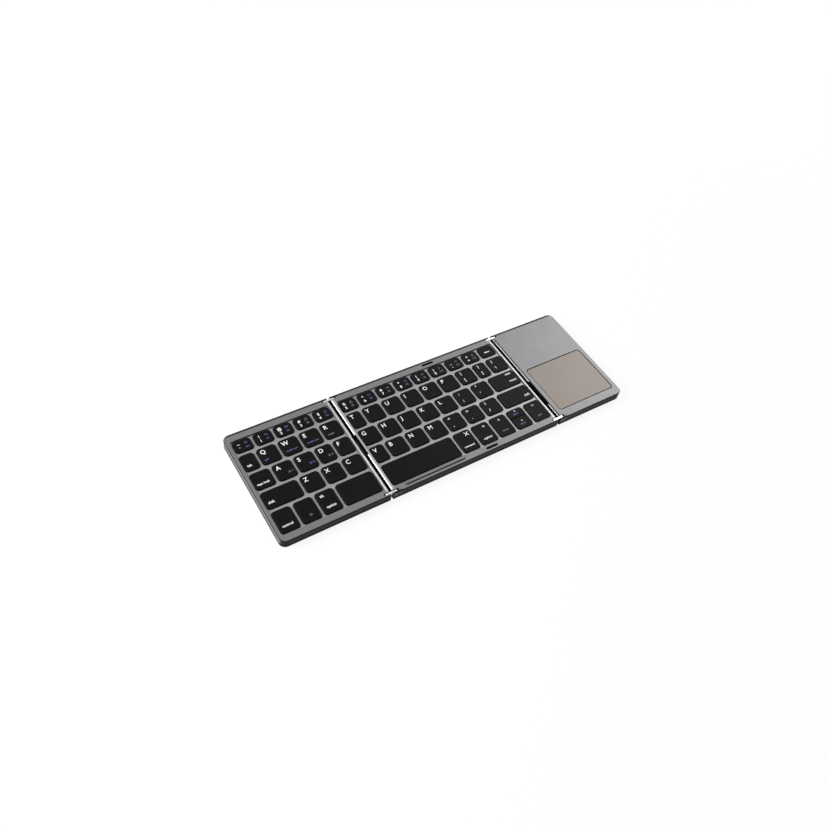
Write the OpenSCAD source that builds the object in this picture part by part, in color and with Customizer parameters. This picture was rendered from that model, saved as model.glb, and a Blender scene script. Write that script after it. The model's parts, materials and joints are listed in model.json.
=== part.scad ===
// Pocket keyboard in three panels that fold over each other: keys left and centre, a touchpad right.
// It lies open and flat. The origin is on the table, under the middle of the open keyboard,
// with X to the right, Y away from the user and Z up. Sizes are millimetres.

/* [Panels] */
// Length of the left panel
left_w = 85.1; // [82:0.1:92]
// Length of the centre panel
centre_w = 150.1; // [148:0.1:158]
// Length of the right panel
right_w = 64.7; // [62:0.1:70]
// Depth of all panels, front to back
panel_d = 98; // [96:0.5:104]
// Height of the panels' top faces above the table
top_z = 8; // [7.8:0.1:9]
// Gap between two panels that lie open
fold_gap = 2.3; // [1.8:0.1:2.4]
// Radius of the outer corners, seen from above
corner_r = 5; // [4:0.5:6]
// Chamfer along the top edges
top_chamfer = 0.5; // [0.3:0.1:0.8]
// Chamfer along the lower edges
bottom_chamfer = 0.3; // [0.2:0.1:1.1]

/* [Shells] */
// Thickness of the lower covers' floor
floor_t = 0.8; // [0.6:0.1:1]
// Height above the table at which a lower cover meets its upper shell
split_z = 3; // [2.8:0.1:3.2]
// Thickness of the outer side walls
wall_t = 1.4; // [1.2:0.1:1.8]
// Width of the rim at the front
front_rim = 5.5; // [4.6:0.1:6]
// Width of the rim at the back
back_rim = 6.7; // [6.4:0.1:8]
// Width of the rim at the far left
side_rim = 2.8; // [2.4:0.1:3.6]
// Width of the rims beside a fold
fold_rim = 2.2; // [2:0.1:2.4]
// Depth of the key deck below the rims
deck_drop = 1.2; // [0.9:0.1:1.4]
// Thickness of the key deck
deck_t = 0.8; // [0.6:0.1:1]
// Radius of the deck recess's corners
recess_r = 2.5; // [1.5:0.5:3.5]

/* [Folds] */
// Depth of the link pivots below the top faces
pivot_depth = 3; // [2.8:0.1:3.1]
// Gap between two panels' top faces when folded together
folded_gap = 0.3; // [0.3:0.05:0.6]
// Radius of a link bar's lower ends about its pivots
link_r = 1.5; // [1.2:0.1:1.6]
// Depth of a link bar's top face below the panels' top faces
link_drop = 0.6; // [0.4:0.1:1]
// Radius of a link bar's upper corners
link_corner_r = 0.6; // [0.3:0.1:0.9]
// Thickness of a link bar
link_t = 1.5; // [1:0.1:1.8]
// Distance from a link bar's middle to the panel's front or back edge
link_inset = 2.15; // [2:0.05:2.4]
// Clearance on each side of a link bar in its slot
slot_side_gap = 0.2; // [0.1:0.05:0.3]
// Clearance beyond a link bar's end in its slot
slot_end_gap = 0.3; // [0.2:0.1:0.6]
// Radius of the hinge pins
pin_r = 0.75; // [0.5:0.05:0.9]
// Clearance between a hinge pin and a link's bore
pin_gap = 0.05; // [0.02:0.01:0.08]
// Distance that a hinge pin reaches in from the panel's edge
pin_reach = 4.2; // [3.8:0.1:4.3]
// Cover over the blind outer end of a hidden pin
pin_skin = 0.5; // [0.3:0.1:0.8]
// Radius of the heads on the pins in the end caps
pin_head_r = 1.1; // [1:0.05:1.4]
// Thickness of those pin heads
pin_head_t = 0.4; // [0.3:0.05:0.6]
// Length of an end cap, from the fold edge
cap_l = 7; // [6:0.5:9]
// Thickness of the spine strip between two link bars, along the keyboard
spine_t = 1.6; // [1:0.1:1.6]
// Height of the spine strip's top above the table
spine_top_z = 2.7; // [2.4:0.1:2.7]
// Height of the spine strip
spine_h = 1.3; // [1:0.1:1.5]

/* [Ribbon cables] */
// Width of a ribbon cable
ribbon_w = 16; // [10:1:18]
// Thickness of a ribbon cable
ribbon_t = 0.2; // [0.1:0.05:0.3]
// Length of a ribbon cable that lies inside each panel
ribbon_reach = 6; // [4:0.5:10]
// Width of the notch in the fold edges at the left cable
left_notch_w = 20; // [19:0.5:24]
// Width of the notch in the fold edges at the right cable
right_notch_w = 26; // [19:0.5:28]
// Depth of those notches
notch_depth = 0.8; // [0.3:0.1:1]
// Distance from the front edge to the left cable's middle
left_cable_y = 48; // [40:1:56]
// Distance from the front edge to the right cable's middle
right_cable_y = 30; // [24:1:44]
// Height of the slits that the cables pass through
slit_h = 0.6; // [0.5:0.1:0.8]

/* [Keys] */
// Depth of the number row's holes
number_row_d = 11.4; // [10.5:0.1:13]
// How much deeper the bottom row's holes are than a letter row's
bottom_row_extra = 4.2; // [2:0.1:5]
// Width of the deck's webs between rows
row_web = 1.9; // [1.4:0.1:2.4]
// Width of the deck's webs between the keys of a row
key_web = 1.55; // [1.2:0.05:1.8]
// Deck left between the recess's edge and the key holes
deck_margin = 0.4; // [0.2:0.1:0.8]
// Extra margin at the outer end of the number rows
number_margin = 0.6; // [0:0.1:1]
// Width of the tab key's hole
tab_w = 11.8; // [10:0.1:15]
// Width of the caps lock key's hole
caps_w = 15.6; // [14:0.1:18]
// Width of the left shift key's hole
shift_w = 28.6; // [24:0.1:32]
// Width of the holes of the letter keys that the left fold cuts short
cut_left_w = 13.4; // [11:0.1:15]
// Width of the holes of the keys that start or end a centre row short
cut_centre_w = 11.8; // [10:0.1:15]
// Width of the backslash key's hole, at the right end of the top letter row
backslash_w = 15.6; // [14:0.1:20]
// Width of the delete key's hole
delete_w = 14.5; // [13:0.1:19]
// Width of the enter key's hole
enter_w = 25.3; // [22:0.1:30]
// Width of the right shift key's hole
shift_right_w = 28.6; // [24:0.1:34]
// Width of the left panel's control, fn and option keys' holes
modifier_w = 14.9; // [12:0.05:17]
// Width of the holes of the keys right of the long space bar
arrow_w = 15.2; // [12:0.1:17]
// Depth of the up arrow key, the upper of the two that share a hole
up_d = 7.7; // [6:0.1:10]
// Radius of the key holes' corners
key_hole_r = 2.9; // [2:0.1:3.2]
// Clearance between a key and its hole, and between keys that share one
key_gap = 0.35; // [0.25:0.05:0.45]
// Height of the key tops below the rims
key_drop = 0.2; // [0.1:0.05:0.4]
// Height of a key cap, with its skirt
key_h = 2.2; // [2:0.1:2.3]
// Thickness of a key cap's top
key_top_t = 1.1; // [0.9:0.05:1.2]
// Thickness of a key cap's skirt
key_wall = 0.9; // [0.7:0.05:1.1]
// Chamfer round a key's top
key_chamfer = 0.35; // [0.2:0.05:0.5]

/* [Under the keys] */
// Height of the steel key plate's underside above the table
plate_z = 3.6; // [3.5:0.05:3.7]
// Thickness of the key plate
plate_t = 0.4; // [0.3:0.05:0.5]
// Clearance between the key plate and the walls round it
plate_gap = 0.3; // [0.2:0.05:0.5]
// Thickness of the stack of contact films
film_t = 0.2; // [0.15:0.05:0.25]
// Distance that the films stop short of the plate's edge
film_inset = 0.8; // [0.4:0.1:1.2]
// Radius of a rubber dome's foot
dome_foot_r = 2.1; // [1.8:0.1:2.3]
// Radius of a rubber dome's top
dome_top_r = 1.2; // [0.8:0.1:1.4]
// Clearance between a dome's top and its key
dome_gap = 0.1; // [0.05:0.05:0.2]
// Radius of the posts that carry the plate and the board
post_r = 1.6; // [1.2:0.1:2]

/* [Touchpad panel] */
// Thickness of the touchpad panel's top wall
pad_wall = 1; // [0.8:0.1:1.2]
// Length of the touchpad
pad_w = 54.7; // [50:0.1:57]
// Depth of the touchpad, front to back
pad_d = 45.2; // [40:0.1:60]
// Distance from the panel's front edge to the touchpad
pad_y = 8; // [6.8:0.1:9]
// Distance from the panel's outer edge to the touchpad
pad_side = 4.5; // [3.6:0.1:5.2]
// Radius of the touchpad's corners
pad_r = 2; // [1:0.1:4]
// Width of the groove round the touchpad
pad_gap = 0.7; // [0.25:0.05:0.8]
// Depth of the touchpad's face below the panel's face
pad_drop = 0.15; // [0.1:0.05:0.3]
// Thickness of the touch sensor board
sensor_t = 0.8; // [0.6:0.1:1]
// Width of the sensor board's border, which is glued under the panel
sensor_border = 1.5; // [1.1:0.1:2]
// Height of the main circuit board's underside above the table
board_z = 2; // [1.8:0.1:2.2]
// Thickness of the main circuit board
board_t = 0.8; // [0.6:0.1:1]
// Length of the main circuit board
board_w = 34; // [30:1:35]
// Depth of the main circuit board, front to back
board_d = 36; // [26:1:44]
// Length of the battery
battery_w = 48; // [40:1:56]
// Depth of the battery, front to back
battery_d = 38; // [30:1:44]
// Thickness of the battery
battery_h = 3.2; // [2.6:0.1:3.6]
// Radius of the battery pouch's edges, seen from above
battery_r = 2; // [1:0.5:3]
// Width of the charging socket
socket_w = 7.5; // [7:0.1:8]
// Height of the charging socket
socket_h = 2.6; // [2.4:0.1:2.8]
// Length of the charging socket
socket_l = 5.6; // [5:0.1:6.5]
// Wall of the charging socket
socket_wall = 0.3; // [0.2:0.05:0.4]
// Distance from the panel's outer edge to the charging socket's middle
socket_side = 24; // [22:1:40]
// Distance of the charging socket's mouth in from the back edge
socket_sink = 0.4; // [0.2:0.1:0.8]
// Radius of the charging socket's corners
socket_r = 0.9; // [0.6:0.1:1.1]
// Clearance round the charging socket in the back wall
socket_gap = 0.2; // [0.1:0.05:0.4]

/* [Feet, bumpers and screws] */
// Height of the rubber feet below the covers
foot_h = 0.3; // [0.2:0.05:0.7]
// Depth of the feet's seats in the covers
foot_seat = 0.3; // [0.2:0.1:0.4]
// Length of a foot
foot_l = 14; // [8:1:18]
// Width of a foot
foot_w = 5; // [4:0.5:7]
// Distance from a cover's edges to a foot
foot_inset = 7; // [6:0.5:9]
// Length of a bumper in the rim
bumper_l = 10.7; // [8:0.1:14]
// Width of a bumper
bumper_w = 2; // [1.4:0.1:2.4]
// Depth of a bumper's seat
bumper_seat = 0.6; // [0.4:0.1:0.9]
// Height of a bumper above the rim
bumper_up = 0.15; // [0.05:0.05:0.2]
// Distance from the front edge to the front bumper's middle
bumper_front_y = 2.7; // [2.2:0.1:3.2]
// Distance from the back edge to the back bumper's middle
bumper_back_y = 3.7; // [3:0.1:4.4]
// Distance of the bumpers' middles to the right of the seam between the folded outer panels
bumper_shift = 2; // [-3:0.1:3]
// Radius of a screw's shank
screw_r = 0.6; // [0.4:0.05:0.8]
// Radius of a screw's head
screw_head_r = 1.1; // [0.9:0.05:1.1]
// Thickness of a screw's head
screw_head_t = 0.5; // [0.4:0.05:0.6]
// Height of the screws' tips above the table
screw_tip_z = 5.6; // [5:0.1:6]
// Distance from a panel's side edges to its screws
screw_side = 12; // [11:0.5:20]
// Radius of the bosses round the screws in the covers
boss_r = 1.8; // [1.5:0.1:1.9]

/* [Thumb scoop] */
// Length of the scoop along the rim's inner edge
scoop_l = 58; // [40:1:60]
// Length that the scoop loses at each end towards the user
scoop_taper = 4; // [2:0.5:6]
// Distance from the front edge to the scoop
scoop_y = 2; // [0.9:0.1:2.4]
// Run of the scoop's steep side, nearest the front edge
scoop_step = 0.4; // [0.2:0.1:0.8]
// Depth of the scoop behind its steep side
scoop_depth = 0.7; // [0.4:0.1:1]
// Depth of the scoop at the rim's inner edge
scoop_end_depth = 0.3; // [0.1:0.1:0.6]
// Distance from the centre panel's left edge to the scoop
scoop_x = 8; // [7:0.5:12]

/* [Hidden] */

$fn = 48;
eps = 0.01;
far = 20;
shell_grey = "dimgray";
cover_grey = "darkslategray";
key_black = "black";
steel = "silver";

// The panels side by side, with their left edges' places along X
total_w = left_w + centre_w + right_w + 2 * fold_gap;
left_x = -total_w / 2;
centre_x = left_x + left_w + fold_gap;
right_x = centre_x + centre_w + fold_gap;

// Heights
pivot_z = top_z - pivot_depth;
deck_z = top_z - deck_drop;
ceiling_z = deck_z - deck_t;
floor_z = foot_h + floor_t;
key_z = top_z - key_drop - key_h;
film_z = plate_z + plate_t;
dome_z = film_z + film_t;
dome_h = key_z + key_h - key_top_t - dome_gap - dome_z;

// A fold: both pivots stand back from their panels' edges, so that the folded faces stay folded_gap apart
pivot_inset = pivot_depth + (folded_gap - fold_gap) / 2;
link_top_z = top_z - link_drop;
link_half = pivot_inset + fold_gap / 2 + link_r;
link_swing = norm([link_r, link_top_z - pivot_z] - link_corner_r * [1, 1]) + link_corner_r;
slot_l = pivot_inset + link_swing + slot_end_gap;
slot_w = link_t + 2 * slot_side_gap;
slot_y = link_inset - slot_w / 2;
slot_z = pivot_z - link_r - slot_side_gap;

// Rows of keys, the number row first. A row has its margins left and right, and its holes' widths from left to
// right, where the keys marked SHARE get equal widths from what the others leave
SHARE = 0;
field_y = front_rim + deck_margin;
field_d = panel_d - back_rim - deck_margin - field_y;
row_d = (field_d - number_row_d - bottom_row_extra - 4 * row_web) / 4;
row_depths = [number_row_d, row_d, row_d, row_d, row_d + bottom_row_extra];
left_edge = side_rim + deck_margin;
fold_edge = fold_rim + deck_margin;
left_rows = [
    [left_edge + number_margin, fold_edge, [for (i = [1:5]) SHARE]],
    [left_edge, fold_edge, [tab_w, for (i = [1:4]) SHARE]],
    [left_edge, fold_edge, [caps_w, SHARE, SHARE, cut_left_w, cut_left_w]],
    [left_edge, fold_edge, [shift_w, for (i = [1:3]) SHARE]],
    [left_edge, fold_edge, [modifier_w, modifier_w, modifier_w, SHARE]]
];
centre_rows = [
    [fold_edge, fold_edge + number_margin, [for (i = [1:8]) SHARE, delete_w]],
    [fold_edge, fold_edge, [cut_centre_w, for (i = [1:6]) SHARE, cut_centre_w, backslash_w]],
    [fold_edge, fold_edge, [for (i = [1:7]) SHARE, enter_w]],
    [fold_edge, fold_edge, [cut_centre_w, for (i = [1:6]) SHARE, shift_right_w]],
    [fold_edge, fold_edge, [SHARE, for (i = [1:5]) arrow_w]]
];

function sum(list, count) = count == 0 ? 0 : list[count - 1] + sum(list, count - 1);
function row_y(row) = field_y + sum([for (i = [4:-1:0]) row_depths[i] + row_web], 4 - row);
function filled(row, w) =
    let (
        widths = row[2],
        spare = w - row[0] - row[1] - sum(widths, len(widths)) - key_web * (len(widths) - 1),
        sharing = len([for (width = widths) if (width == SHARE) width])
    )
    [for (width = widths) width == SHARE ? spare / sharing : width];
function hole_x(row, w, i) = row[0] + sum(filled(row, w), i) + key_web * i;
// A hole as its corner's place and its size: [x, y, width, depth]
function hole(rows, w, row, i) = [hole_x(rows[row], w, i), row_y(row), filled(rows[row], w)[i], row_depths[row]];
function holes(rows, w) = [for (row = [0:4]) for (i = [0:len(rows[row][2]) - 1]) hole(rows, w, row, i)];
// A hole's key, as the same four numbers, and the two keys that share the arrow hole
function key_in(h) = [h[0] + key_gap, h[1] + key_gap, h[2] - 2 * key_gap, h[3] - 2 * key_gap];
arrow_hole = hole(centre_rows, centre_w, 4, 4);
whole_arrow_key = key_in(arrow_hole);
down_d = whole_arrow_key[3] - up_d - key_gap;
down_key = [whole_arrow_key[0], whole_arrow_key[1], whole_arrow_key[2], down_d];
up_key = [down_key[0], down_key[1] + down_d + key_gap, down_key[2], up_d];
left_keys = [for (h = holes(left_rows, left_w)) key_in(h)];
centre_keys = [for (h = holes(centre_rows, centre_w)) if (h != arrow_hole) key_in(h), down_key, up_key];

// Touchpad panel
pad_x = right_w - pad_side - pad_w;
socket_x = right_w - socket_side;
pad_ceiling_z = top_z - pad_wall;
board_x = (right_w - board_w) / 2;
board_y = panel_d - wall_t - plate_gap - board_d;
battery_x = fold_rim + ribbon_reach;
battery_y = front_rim + plate_gap;
socket_z = board_z + board_t;

// Places and mirrors

module left_panel() { translate([left_x, -panel_d / 2, 0]) children(); }

module centre_panel() { translate([centre_x, -panel_d / 2, 0]) children(); }

module right_panel() { translate([right_x, -panel_d / 2, 0]) children(); }

// Puts what is drawn at a left fold edge at the right edge of a panel that is w long
module at_right_edge(w) { translate([w, 0, 0]) mirror([1, 0, 0]) children(); }

module front_and_back() {
    children();
    translate([0, panel_d, 0]) mirror([0, 1, 0]) children();
}

// Draws what is inside once for each of a panel's fold edges
module at_folds(w, fold_left, fold_right) {
    if (fold_left) children();
    if (fold_right) at_right_edge(w) children();
}

// Shapes

module round_rect(w, d, r) {
    translate([r, 0]) square([w - 2 * r, d]);
    translate([0, r]) square([w, d - 2 * r]);
    for (x = [r, w - r], y = [r, d - r]) translate([x, y]) circle(r);
}

// Half of a block's outline, seen along an edge: chamfered below and above at its outer side
module half_side(reach, h, low, high) {
    polygon([[0, 0], [reach - low, 0], [reach, low], [reach, h - high], [reach - high, h], [0, h]]);
}

// A block from the origin, with round upright corners and chamfered lower and top edges
module soft_block(w, d, h, r, low, high) {
    translate([r, d / 2, 0]) rotate([90, 0, 90]) linear_extrude(w - 2 * r) {
        half_side(d / 2, h, low, high);
        mirror([1, 0]) half_side(d / 2, h, low, high);
    }
    translate([w / 2, d - r, 0]) rotate([90, 0, 0]) linear_extrude(d - 2 * r) {
        half_side(w / 2, h, low, high);
        mirror([1, 0]) half_side(w / 2, h, low, high);
    }
    for (x = [r, w - r], y = [r, d - r]) translate([x, y, 0]) rotate_extrude() half_side(r, h, low, high);
}

module box(from, to) { translate(from) cube(to - from); }

// A bar along Y from y0 to y1, round about the axis through x and z
module bar_along_y(r, x, z, y0, y1) {
    translate([x, y0, z]) rotate([-90, 0, 0]) cylinder(r = r, h = y1 - y0);
}

// The corner that a left fold edge loses: outside a curve about the pivot, so that the panels roll past each other
module fold_corner() {
    translate([0, panel_d + far, 0]) rotate([90, 0, 0]) linear_extrude(panel_d + 2 * far) difference() {
        translate([-far, pivot_z]) square([far + pivot_inset, far]);
        translate([pivot_inset, pivot_z]) circle(pivot_depth);
    }
}

// The outer form of a panel, from z0 up to z1
module panel_body(w, fold_left, fold_right, z0, z1) {
    over_left = fold_left ? 2 * corner_r : 0;
    over_right = fold_right ? 2 * corner_r : 0;
    difference() {
        intersection() {
            translate([-over_left, 0, foot_h])
                soft_block(w + over_left + over_right, panel_d, top_z - foot_h, corner_r,
                    bottom_chamfer, top_chamfer);
            box([0, -far, z0], [w, panel_d + far, z1]);
        }
        at_folds(w, fold_left, fold_right) fold_corner();
    }
}

// The space inside a panel's walls, from z0 up to z1, drawn in by gap
module inner_space(w, fold_left, fold_right, z0, z1, gap = 0) {
    box([(fold_left ? fold_rim : wall_t) + gap, front_rim + gap, z0],
        [w - (fold_right ? fold_rim : wall_t) - gap, panel_d - back_rim - gap, z1]);
}

// What a link bar needs in a left fold edge, front and back: an open slot, and a bore for its pin
module link_slots() {
    front_and_back() {
        box([-eps, slot_y, slot_z], [slot_l, slot_y + slot_w, top_z + eps]);
        bar_along_y(pin_r, pivot_inset, pivot_z, pin_skin, pin_reach);
    }
}

// The black end caps at a left fold edge, filling the corners outboard of the slots
module cap_space() {
    front_and_back() box([-eps, -eps, split_z - eps], [cap_l, slot_y, top_z + eps]);
}

// The notch and slit for a ribbon cable in a left fold edge
module cable_cut(y, notch_w) {
    box([-eps, y - notch_w / 2, split_z - eps], [notch_depth, y + notch_w / 2, top_z + eps]);
    box([-eps, y - ribbon_w / 2 - 2 * slot_side_gap, split_z - eps],
        [fold_rim + eps, y + ribbon_w / 2 + 2 * slot_side_gap, split_z + slit_h]);
}

// The middles of a panel's four screws, in its front and back rims
module at_screws(w) {
    for (x = [screw_side, w - screw_side], y = [front_rim / 2, panel_d - front_rim / 2])
        translate([x, y, 0]) children();
}

// A screw, whose head starts as far below the cover as over says
module screw(over = 0) {
    translate([0, 0, foot_h - over]) cylinder(r = screw_head_r, h = screw_head_t + over);
    translate([0, 0, foot_h]) cylinder(r = screw_r, h = screw_tip_z - foot_h);
}

// A post that stands on a cover's floor and reaches up to z
module post(z) { translate([0, 0, floor_z - eps]) cylinder(r = post_r, h = z - floor_z + eps); }

// The posts inside a cover that carry its key plate
module plate_posts(w) {
    for (x = [w / 4, w / 2, w * 3 / 4], y = [panel_d / 4, panel_d / 2, panel_d * 3 / 4])
        translate([x, y, 0]) post(plate_z);
}

module at_feet(w) {
    for (x = [foot_inset, w - foot_inset - foot_l], y = [foot_inset, panel_d - foot_inset - foot_w])
        translate([x, y, 0]) children();
}

module foot() { linear_extrude(foot_h + foot_seat) round_rect(foot_l, foot_w, foot_w / 2 - eps); }

// Parts that each panel has its own of

module bottom_cover(w, fold_left, fold_right) {
    color(cover_grey) difference() {
        union() {
            difference() {
                panel_body(w, fold_left, fold_right, foot_h, split_z);
                translate([wall_t, wall_t, floor_z]) linear_extrude(split_z)
                    round_rect(w - 2 * wall_t, panel_d - 2 * wall_t, corner_r - wall_t);
            }
            at_screws(w) translate([0, 0, floor_z - eps]) cylinder(r = boss_r, h = split_z - floor_z + eps);
            children();
        }
        at_screws(w) screw(eps);
        at_feet(w) foot();
    }
}

// A panel's upper shell, hollow up to ceiling
module top_shell(w, fold_left, fold_right, ceiling) {
    difference() {
        panel_body(w, fold_left, fold_right, split_z, top_z);
        inner_space(w, fold_left, fold_right, split_z - eps, ceiling);
        at_folds(w, fold_left, fold_right) link_slots();
        if (fold_left) cap_space();
        at_screws(w) screw();
    }
}

// A top shell with the sunk deck that the keys stand in
module key_shell(w, fold_left, fold_right, rows) {
    recess_x = fold_left ? fold_rim : side_rim;
    recess_w = w - recess_x - (fold_right ? fold_rim : side_rim);
    color(shell_grey) difference() {
        top_shell(w, fold_left, fold_right, ceiling_z);
        translate([recess_x, front_rim, deck_z])
            linear_extrude(deck_drop + eps) round_rect(recess_w, panel_d - front_rim - back_rim, recess_r);
        translate([0, 0, ceiling_z - eps]) linear_extrude(deck_t + 2 * eps)
            for (h = holes(rows, w)) translate([h[0], h[1]]) round_rect(h[2], h[3], key_hole_r);
        children();
    }
}

module key_plate(w, fold_left, fold_right) {
    color(steel) inner_space(w, fold_left, fold_right, plate_z, film_z, plate_gap);
}

module membrane(w, fold_left, fold_right) {
    color("khaki") inner_space(w, fold_left, fold_right, film_z, dome_z, plate_gap + film_inset);
}

module key_domes(keys) {
    color("gainsboro") for (k = keys) translate([k[0] + k[2] / 2, k[1] + k[3] / 2, dome_z])
        cylinder(r1 = dome_foot_r, r2 = dome_top_r, h = dome_h);
}

// A key cap: a shallow lid with its skirt down, open below
module key_cap(k) {
    outer_r = key_hole_r - key_gap;
    color(key_black) translate([k[0], k[1], key_z]) difference() {
        soft_block(k[2], k[3], key_h, outer_r, 0, key_chamfer);
        translate([key_wall, key_wall, -eps]) linear_extrude(key_h - key_top_t + eps)
            round_rect(k[2] - 2 * key_wall, k[3] - 2 * key_wall, outer_r - key_wall);
    }
}

// The key caps from first to last in a row of holes
module left_keys_in(row, first, last) {
    left_panel() for (i = [first:last]) key_cap(key_in(hole(left_rows, left_w, row, i)));
}

module centre_keys_in(row, first, last) {
    centre_panel() for (i = [first:last]) key_cap(key_in(hole(centre_rows, centre_w, row, i)));
}

// Hinge pins at a left fold edge: hidden ones start inside the rim, headed ones show in the end caps, and
// reach as far out of them as over says
module hinge_pins(headed, over = 0) {
    color(steel) front_and_back() {
        bar_along_y(pin_r, pivot_inset, pivot_z, headed ? -over : pin_skin, pin_reach);
        if (headed) bar_along_y(pin_head_r, pivot_inset, pivot_z, -over, pin_head_t);
    }
}

// End caps at the left fold edge of a panel that is w long
module hinge_caps(w, fold_right) {
    color("black") difference() {
        intersection() {
            panel_body(w, true, fold_right, split_z, top_z);
            cap_space();
        }
        hinge_pins(true, eps);
    }
}

module feet(w) { color("black") at_feet(w) foot(); }

module screws(w) { color(steel) at_screws(w) screw(); }

// Parts of a fold, drawn about the middle of its gap

// A bar with two bores, and a tab in its middle that carries the spine
module fold_links() {
    color(steel) front_and_back() difference() {
        translate([0, link_inset + link_t / 2, 0]) rotate([90, 0, 0]) linear_extrude(link_t) {
            translate([link_r - link_half, pivot_z - link_r]) square([2 * (link_half - link_r), 2 * link_r]);
            translate([-link_half, pivot_z]) square([2 * link_half, link_top_z - link_corner_r - pivot_z]);
            translate([link_corner_r - link_half, pivot_z])
                square([2 * (link_half - link_corner_r), link_top_z - pivot_z]);
            translate([-spine_t / 2, spine_top_z - spine_h]) square([spine_t, pivot_z - spine_top_z + spine_h]);
            for (side = [-1, 1]) {
                translate([side * (link_half - link_r), pivot_z]) circle(link_r);
                translate([side * (link_half - link_corner_r), link_top_z - link_corner_r]) circle(link_corner_r);
            }
        }
        for (side = [-1, 1])
            bar_along_y(pin_r + pin_gap, side * (link_half - link_r), pivot_z, 0, 2 * link_inset);
    }
}

module fold_spine() {
    end = link_inset + link_t / 2;
    color("black") box([-spine_t / 2, end, spine_top_z - spine_h], [spine_t / 2, panel_d - end, spine_top_z]);
}

module ribbon_cable(y) {
    reach = fold_gap / 2 + ribbon_reach;
    z = split_z + (slit_h - ribbon_t) / 2;
    color("black") box([-reach, y - ribbon_w / 2, z], [reach, y + ribbon_w / 2, z + ribbon_t]);
}

module left_fold() { translate([centre_x - fold_gap / 2, -panel_d / 2, 0]) children(); }

module right_fold() { translate([right_x - fold_gap / 2, -panel_d / 2, 0]) children(); }

// Centre panel

module centre_bottom_cover() { centre_panel() bottom_cover(centre_w, true, true) plate_posts(centre_w); }

module scoop() {
    intersection() {
        translate([scoop_x, 0, 0]) rotate([90, 0, 90]) linear_extrude(scoop_l)
            polygon([[scoop_y, top_z], [scoop_y + scoop_step, top_z - scoop_depth],
                [front_rim + eps, top_z - scoop_end_depth], [front_rim + eps, top_z + far],
                [scoop_y, top_z + far]]);
        translate([scoop_x, 0, deck_z]) linear_extrude(2 * deck_drop)
            polygon([[scoop_taper, scoop_y], [scoop_l - scoop_taper, scoop_y], [scoop_l, front_rim + eps],
                [0, front_rim + eps]]);
    }
}

// The bumpers lie where the outer panels' ends meet when folded over the centre panel
module at_bumpers() {
    seam = (left_w + centre_w - right_w) / 2;
    for (y = [bumper_front_y, panel_d - bumper_back_y])
        translate([seam + bumper_shift - bumper_l / 2, y - bumper_w / 2, top_z - bumper_seat]) children();
}

module bumper(h) { linear_extrude(h) round_rect(bumper_l, bumper_w, bumper_w / 2 - eps); }

module centre_top_shell() {
    centre_panel() key_shell(centre_w, true, true, centre_rows) {
        cable_cut(left_cable_y, left_notch_w);
        at_right_edge(centre_w) cable_cut(right_cable_y, right_notch_w);
        scoop();
        at_bumpers() bumper(bumper_seat + eps);
    }
}

module rim_bumpers() { color("black") centre_panel() at_bumpers() bumper(bumper_seat + bumper_up); }

module centre_key_plate() { centre_panel() key_plate(centre_w, true, true); }

module centre_membrane() { centre_panel() membrane(centre_w, true, true); }

module centre_key_domes() { centre_panel() key_domes(centre_keys); }

module centre_feet() { centre_panel() feet(centre_w); }

module centre_screws() { centre_panel() screws(centre_w); }

module centre_hinge_caps() { centre_panel() hinge_caps(centre_w, true); }

module centre_hinge_pins() {
    centre_panel() {
        hinge_pins(true);
        at_right_edge(centre_w) hinge_pins(false);
    }
}

module number_keys_centre() { centre_keys_in(0, 0, 7); }

module delete_key() { centre_keys_in(0, 8, 8); }

module top_letter_keys_centre() { centre_keys_in(1, 0, 8); }

module home_letter_keys_centre() { centre_keys_in(2, 0, 6); }

module enter_key() { centre_keys_in(2, 7, 7); }

module low_letter_keys_centre() { centre_keys_in(3, 0, 6); }

module shift_key_right() { centre_keys_in(3, 7, 7); }

module space_bar_right() { centre_keys_in(4, 0, 0); }

module command_key() { centre_keys_in(4, 1, 1); }

module option_key_right() { centre_keys_in(4, 2, 2); }

module arrow_left_key() { centre_keys_in(4, 3, 3); }

module arrow_right_key() { centre_keys_in(4, 5, 5); }

module arrow_up_key() { centre_panel() key_cap(up_key); }

module arrow_down_key() { centre_panel() key_cap(down_key); }

// Left fold

module left_fold_links() { left_fold() fold_links(); }

module left_fold_spine() { left_fold() fold_spine(); }

module left_ribbon_cable() { left_fold() ribbon_cable(left_cable_y); }

// Left panel

module left_bottom_cover() { left_panel() bottom_cover(left_w, false, true) plate_posts(left_w); }

module left_top_shell() {
    left_panel() key_shell(left_w, false, true, left_rows)
        at_right_edge(left_w) cable_cut(left_cable_y, left_notch_w);
}

module left_key_plate() { left_panel() key_plate(left_w, false, true); }

module left_membrane() { left_panel() membrane(left_w, false, true); }

module left_key_domes() { left_panel() key_domes(left_keys); }

module left_feet() { left_panel() feet(left_w); }

module left_screws() { left_panel() screws(left_w); }

module left_hinge_pins() { left_panel() at_right_edge(left_w) hinge_pins(false); }

module number_keys_left() { left_keys_in(0, 0, 4); }

module tab_key() { left_keys_in(1, 0, 0); }

module top_letter_keys_left() { left_keys_in(1, 1, 4); }

module caps_lock_key() { left_keys_in(2, 0, 0); }

module home_letter_keys_left() { left_keys_in(2, 1, 4); }

module shift_key_left() { left_keys_in(3, 0, 0); }

module low_letter_keys_left() { left_keys_in(3, 1, 3); }

module control_key() { left_keys_in(4, 0, 0); }

module fn_key() { left_keys_in(4, 1, 1); }

module option_key_left() { left_keys_in(4, 2, 2); }

module space_bar_left() { left_keys_in(4, 3, 3); }

// Right fold

module right_fold_links() { right_fold() fold_links(); }

module right_fold_spine() { right_fold() fold_spine(); }

module right_ribbon_cable() { right_fold() ribbon_cable(right_cable_y); }

// Right panel

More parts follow.
